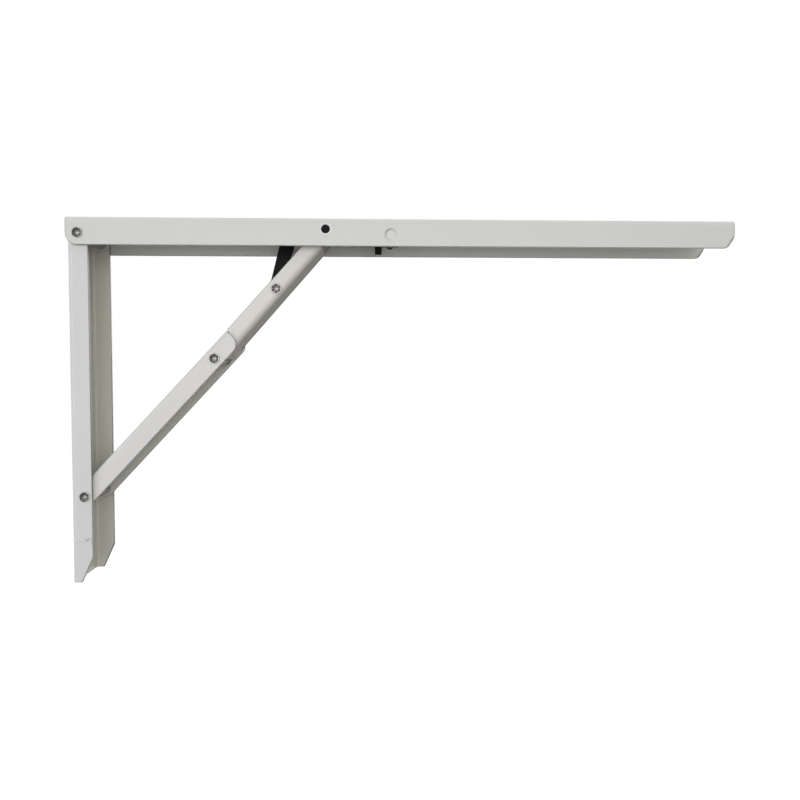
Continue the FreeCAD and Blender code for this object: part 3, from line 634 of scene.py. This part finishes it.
def flareProfile():
    # Radius, height over the sheet and darkness, from the hollow's middle out to the shank:
    # the wall rises as a power curve, two quarter circles turn over the ring. The folds' share
    # is the sine of a half turn along the wall.
    look = rivetLook
    bend = np.linspace(0, math.pi / 2, 7)
    floor = look["rise"] - look["hollowDepth"]
    middle = np.array([[0.0, floor + look["pip"], 0.0], [look["pipFoot"], floor, look["pipShade"]]])
    climb = np.linspace(0, 1, 9)[:-1]
    (outward, upward), (foot, gain) = look["wallCurve"], look["wallShade"]
    wallTop = look["ringInner"] + look["rimRound"]
    wall = np.stack([look["hollowFloor"] + (look["ringInner"] - look["hollowFloor"]) * climb ** outward,
                     floor + (look["rise"] - look["rimRound"] - floor) * climb ** upward,
                     foot + gain * climb], axis=1)
    inner = np.stack([wallTop - look["rimRound"] * np.cos(bend),
                      look["rise"] - look["rimRound"] * (1 - np.sin(bend)),
                      1.0 - bend / bend[-1]], axis=1)
    outer = np.stack([look["rim"] - look["rimRound"] * (1 - np.sin(bend)),
                      look["rise"] - look["rimRound"] * (1 - np.cos(bend)),
                      look["ringShade"] * bend / bend[-1]], axis=1)
    under = np.array([[radius, look["seat"], look["ringShade"]] for radius in (look["rim"], look["shank"])])
    profile = np.concatenate([middle, wall, inner, outer, under])
    fold = np.zeros(len(profile))
    fold[len(middle):len(middle) + len(wall)] = np.sin(np.linspace(0.2, math.pi - 0.2, len(wall)))
    return profile, fold


def turnRivet(centre, near, far):
    # A closed turned solid along y: both ends flared where near and far are sheet faces, or a
    # flat end where far is inside. Round the hollow, radius times one plus the cosine of the splits.
    look = rivetLook
    profile, swing = flareProfile()
    side = math.copysign(1.0, near)
    radius, dark, offset = profile[:, 0], profile[:, 2], near + side * profile[:, 1]
    if far * near < 0:
        radius, dark, swing = (np.append(row, row[::-1]) for row in (radius, dark, swing))
        offset = np.append(offset, (far - side * profile[:, 1])[::-1])
    else:
        radius, offset = np.append(radius, [look["shank"], 0.0]), np.append(offset, [far, far])
        dark, swing = np.append(dark, [look["ringShade"]] * 2), np.append(swing, [0.0, 0.0])
    angle = np.linspace(0, 2 * math.pi, look["around"], endpoint=False)
    reach = radius[:, None] * (1 + look["splitDepth"] * np.outer(swing, np.cos(look["splits"] * angle)))
    grid = np.stack([centre.x + reach * np.cos(angle), np.broadcast_to(offset[:, None], reach.shape),
                     centre.z + reach * np.sin(angle)], axis=-1)
    # painted shade, heavier on the upper left where the wall faces away from the light
    upperLeft = np.cos(angle - 0.75 * math.pi)
    return grid, dark[:, None] * (1 - look["shadeLean"] + look["shadeLean"] * upperLeft)


def closedMesh(name, grids):
    # Quads over each grid, wrapped round; the poles' doubles are merged and normals turned out.
    points, quads, darkness, start = [], [], [], 0
    for grid, dark in grids:
        index = start + np.arange(dark.size).reshape(dark.shape)
        turned = np.roll(index, -1, axis=1)
        quads.append(np.stack([index[:-1], turned[:-1], turned[1:], index[1:]], axis=-1).reshape(-1, 4))
        points.append(grid.reshape(-1, 3))
        darkness.append(dark.ravel())
        start += dark.size
    mesh = bpy.data.meshes.new(name)
    mesh.from_pydata(np.concatenate(points).tolist(), [], np.concatenate(quads).tolist())
    mesh.attributes.new("hollow", "FLOAT", "POINT").data.foreach_set("value", np.concatenate(darkness))
    work = bmesh.new()
    work.from_mesh(mesh)
    bmesh.ops.remove_doubles(work, verts=work.verts, dist=mergeReach)
    bmesh.ops.dissolve_degenerate(work, edges=work.edges, dist=mergeReach / 2)
    bmesh.ops.recalc_face_normals(work, faces=work.faces)
    work.to_mesh(mesh)
    work.free()
    mesh.polygons.foreach_set("use_smooth", np.ones(len(mesh.polygons), dtype=bool))
    mesh.set_sharp_from_angle(angle=math.radians(rivetLook["sharpOver"]))
    return mesh


def makeRivet(name, node, body, carrier, stubs=False):
    low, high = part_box(node)
    centre, face = (low + high) / 2, halfWidth(carrier)
    if stubs:
        inner = float(np.abs(meshPoints(node)[:, 1]).min())    # how near the middle the stubs come
        grids = [turnRivet(centre, side * face, side * inner) for side in (-1, 1)]
    else:
        grids = [turnRivet(centre, -face, face)]
    addPiece(name, closedMesh(name, grids), body, node, zinc)


makeRivet("hingeRivetHeads", "arm_hinge_rivets", "arm", "arm", stubs=True)
makeRivet("footRivetHeads", "foot_rivet", "leg", "wall_leg")
makeRivet("kneeRivetHeads", "knee_rivet", "lower_strut", "lower_strut")
makeRivet("linkRivetHeads", "link_rivet", "upper_strut", "upper_strut")
tell("flared rivets")


def makeStage():
    # a square of pale paper below the foot; what the camera or a mirror sees of it glows as well
    size, low = studio["floorSize"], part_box("wall_leg")[0].z - studio["floorDrop"]
    mesh = bpy.data.meshes.new("studioFloor")
    mesh.from_pydata([(-size, -size, low), (size, -size, low), (size, size, low), (-size, size, low)], [],
                     [(0, 1, 2, 3)])
    floor = bpy.data.objects.new("studioFloor", mesh)
    bpy.context.scene.collection.objects.link(floor)
    material = bpy.data.materials.new("studioPaper")
    material.use_nodes = True
    tree = material.node_tree
    tree.nodes.clear()
    output = addNode(tree, "ShaderNodeOutputMaterial")
    paper = addNode(tree, "ShaderNodeBsdfDiffuse")
    paper.inputs["Color"].default_value = studio["paper"]
    glow = addNode(tree, "ShaderNodeEmission")
    both = addNode(tree, "ShaderNodeAddShader")
    feed(tree, glow.inputs["Strength"], mathNode(tree, "MULTIPLY", seenOrMirrored(tree), studio["floorGlow"]))
    feed(tree, both.inputs[0], paper.outputs[0])
    feed(tree, both.inputs[1], glow.outputs[0])
    feed(tree, output.inputs["Surface"], both.outputs[0])
    mesh.materials.append(material)
    floor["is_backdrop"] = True


def seenOrMirrored(tree):
    path = addNode(tree, "ShaderNodeLightPath")
    seen = mathNode(tree, "MAXIMUM", path.outputs["Is Camera Ray"], path.outputs["Is Glossy Ray"])
    return mathNode(tree, "MAXIMUM", seen, path.outputs["Is Transmission Ray"])


def makeSky():
    # white where it is seen or mirrored; the light it gives fades from bright to dim by the
    # cosine to skyTowards, times the contrast
    world = bpy.data.worlds.new("studioSky")
    bpy.context.scene.world = world
    world.use_nodes = True
    tree = world.node_tree
    tree.nodes.clear()
    output = addNode(tree, "ShaderNodeOutputWorld")
    mix = addNode(tree, "ShaderNodeMixShader")
    feed(tree, mix.inputs[0], seenOrMirrored(tree))
    towards = vectorNode(tree, "DOT_PRODUCT", addNode(tree, "ShaderNodeTexCoord").outputs["Generated"],
                         studio["skyTowards"], output="Value")
    share = mathNode(tree, "MULTIPLY_ADD", towards, studio["skyContrast"], 0.5, clamp=True)
    soft = mixColour(tree, share, studio["skyDim"], studio["skyBright"])
    for slot, colour in ((1, soft), (2, studio["backgroundWhite"])):
        light = addNode(tree, "ShaderNodeBackground")
        feed(tree, light.inputs["Color"], colour)
        feed(tree, mix.inputs[slot], light.outputs[0])
    feed(tree, output.inputs["Surface"], mix.outputs[0])


def makeLamps():
    # square area lamps, each turned to the middle of the bracket
    low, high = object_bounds()
    target = (low + high) / 2
    for name, (place, size, watts, tint) in lamps.items():
        data = bpy.data.lights.new(name, "AREA")
        data.shape, data.size = "SQUARE", size
        data.energy, data.color = watts, tint
        lamp = bpy.data.objects.new(name, data)
        lamp.location = place
        lamp.rotation_euler = (target - lamp.location).to_track_quat("-Z", "Y").to_euler()
        bpy.context.scene.collection.objects.link(lamp)


makeStage()
makeSky()
makeLamps()
bpy.context.scene.view_settings.view_transform = "Standard"
tell("stage, sky and lamps")
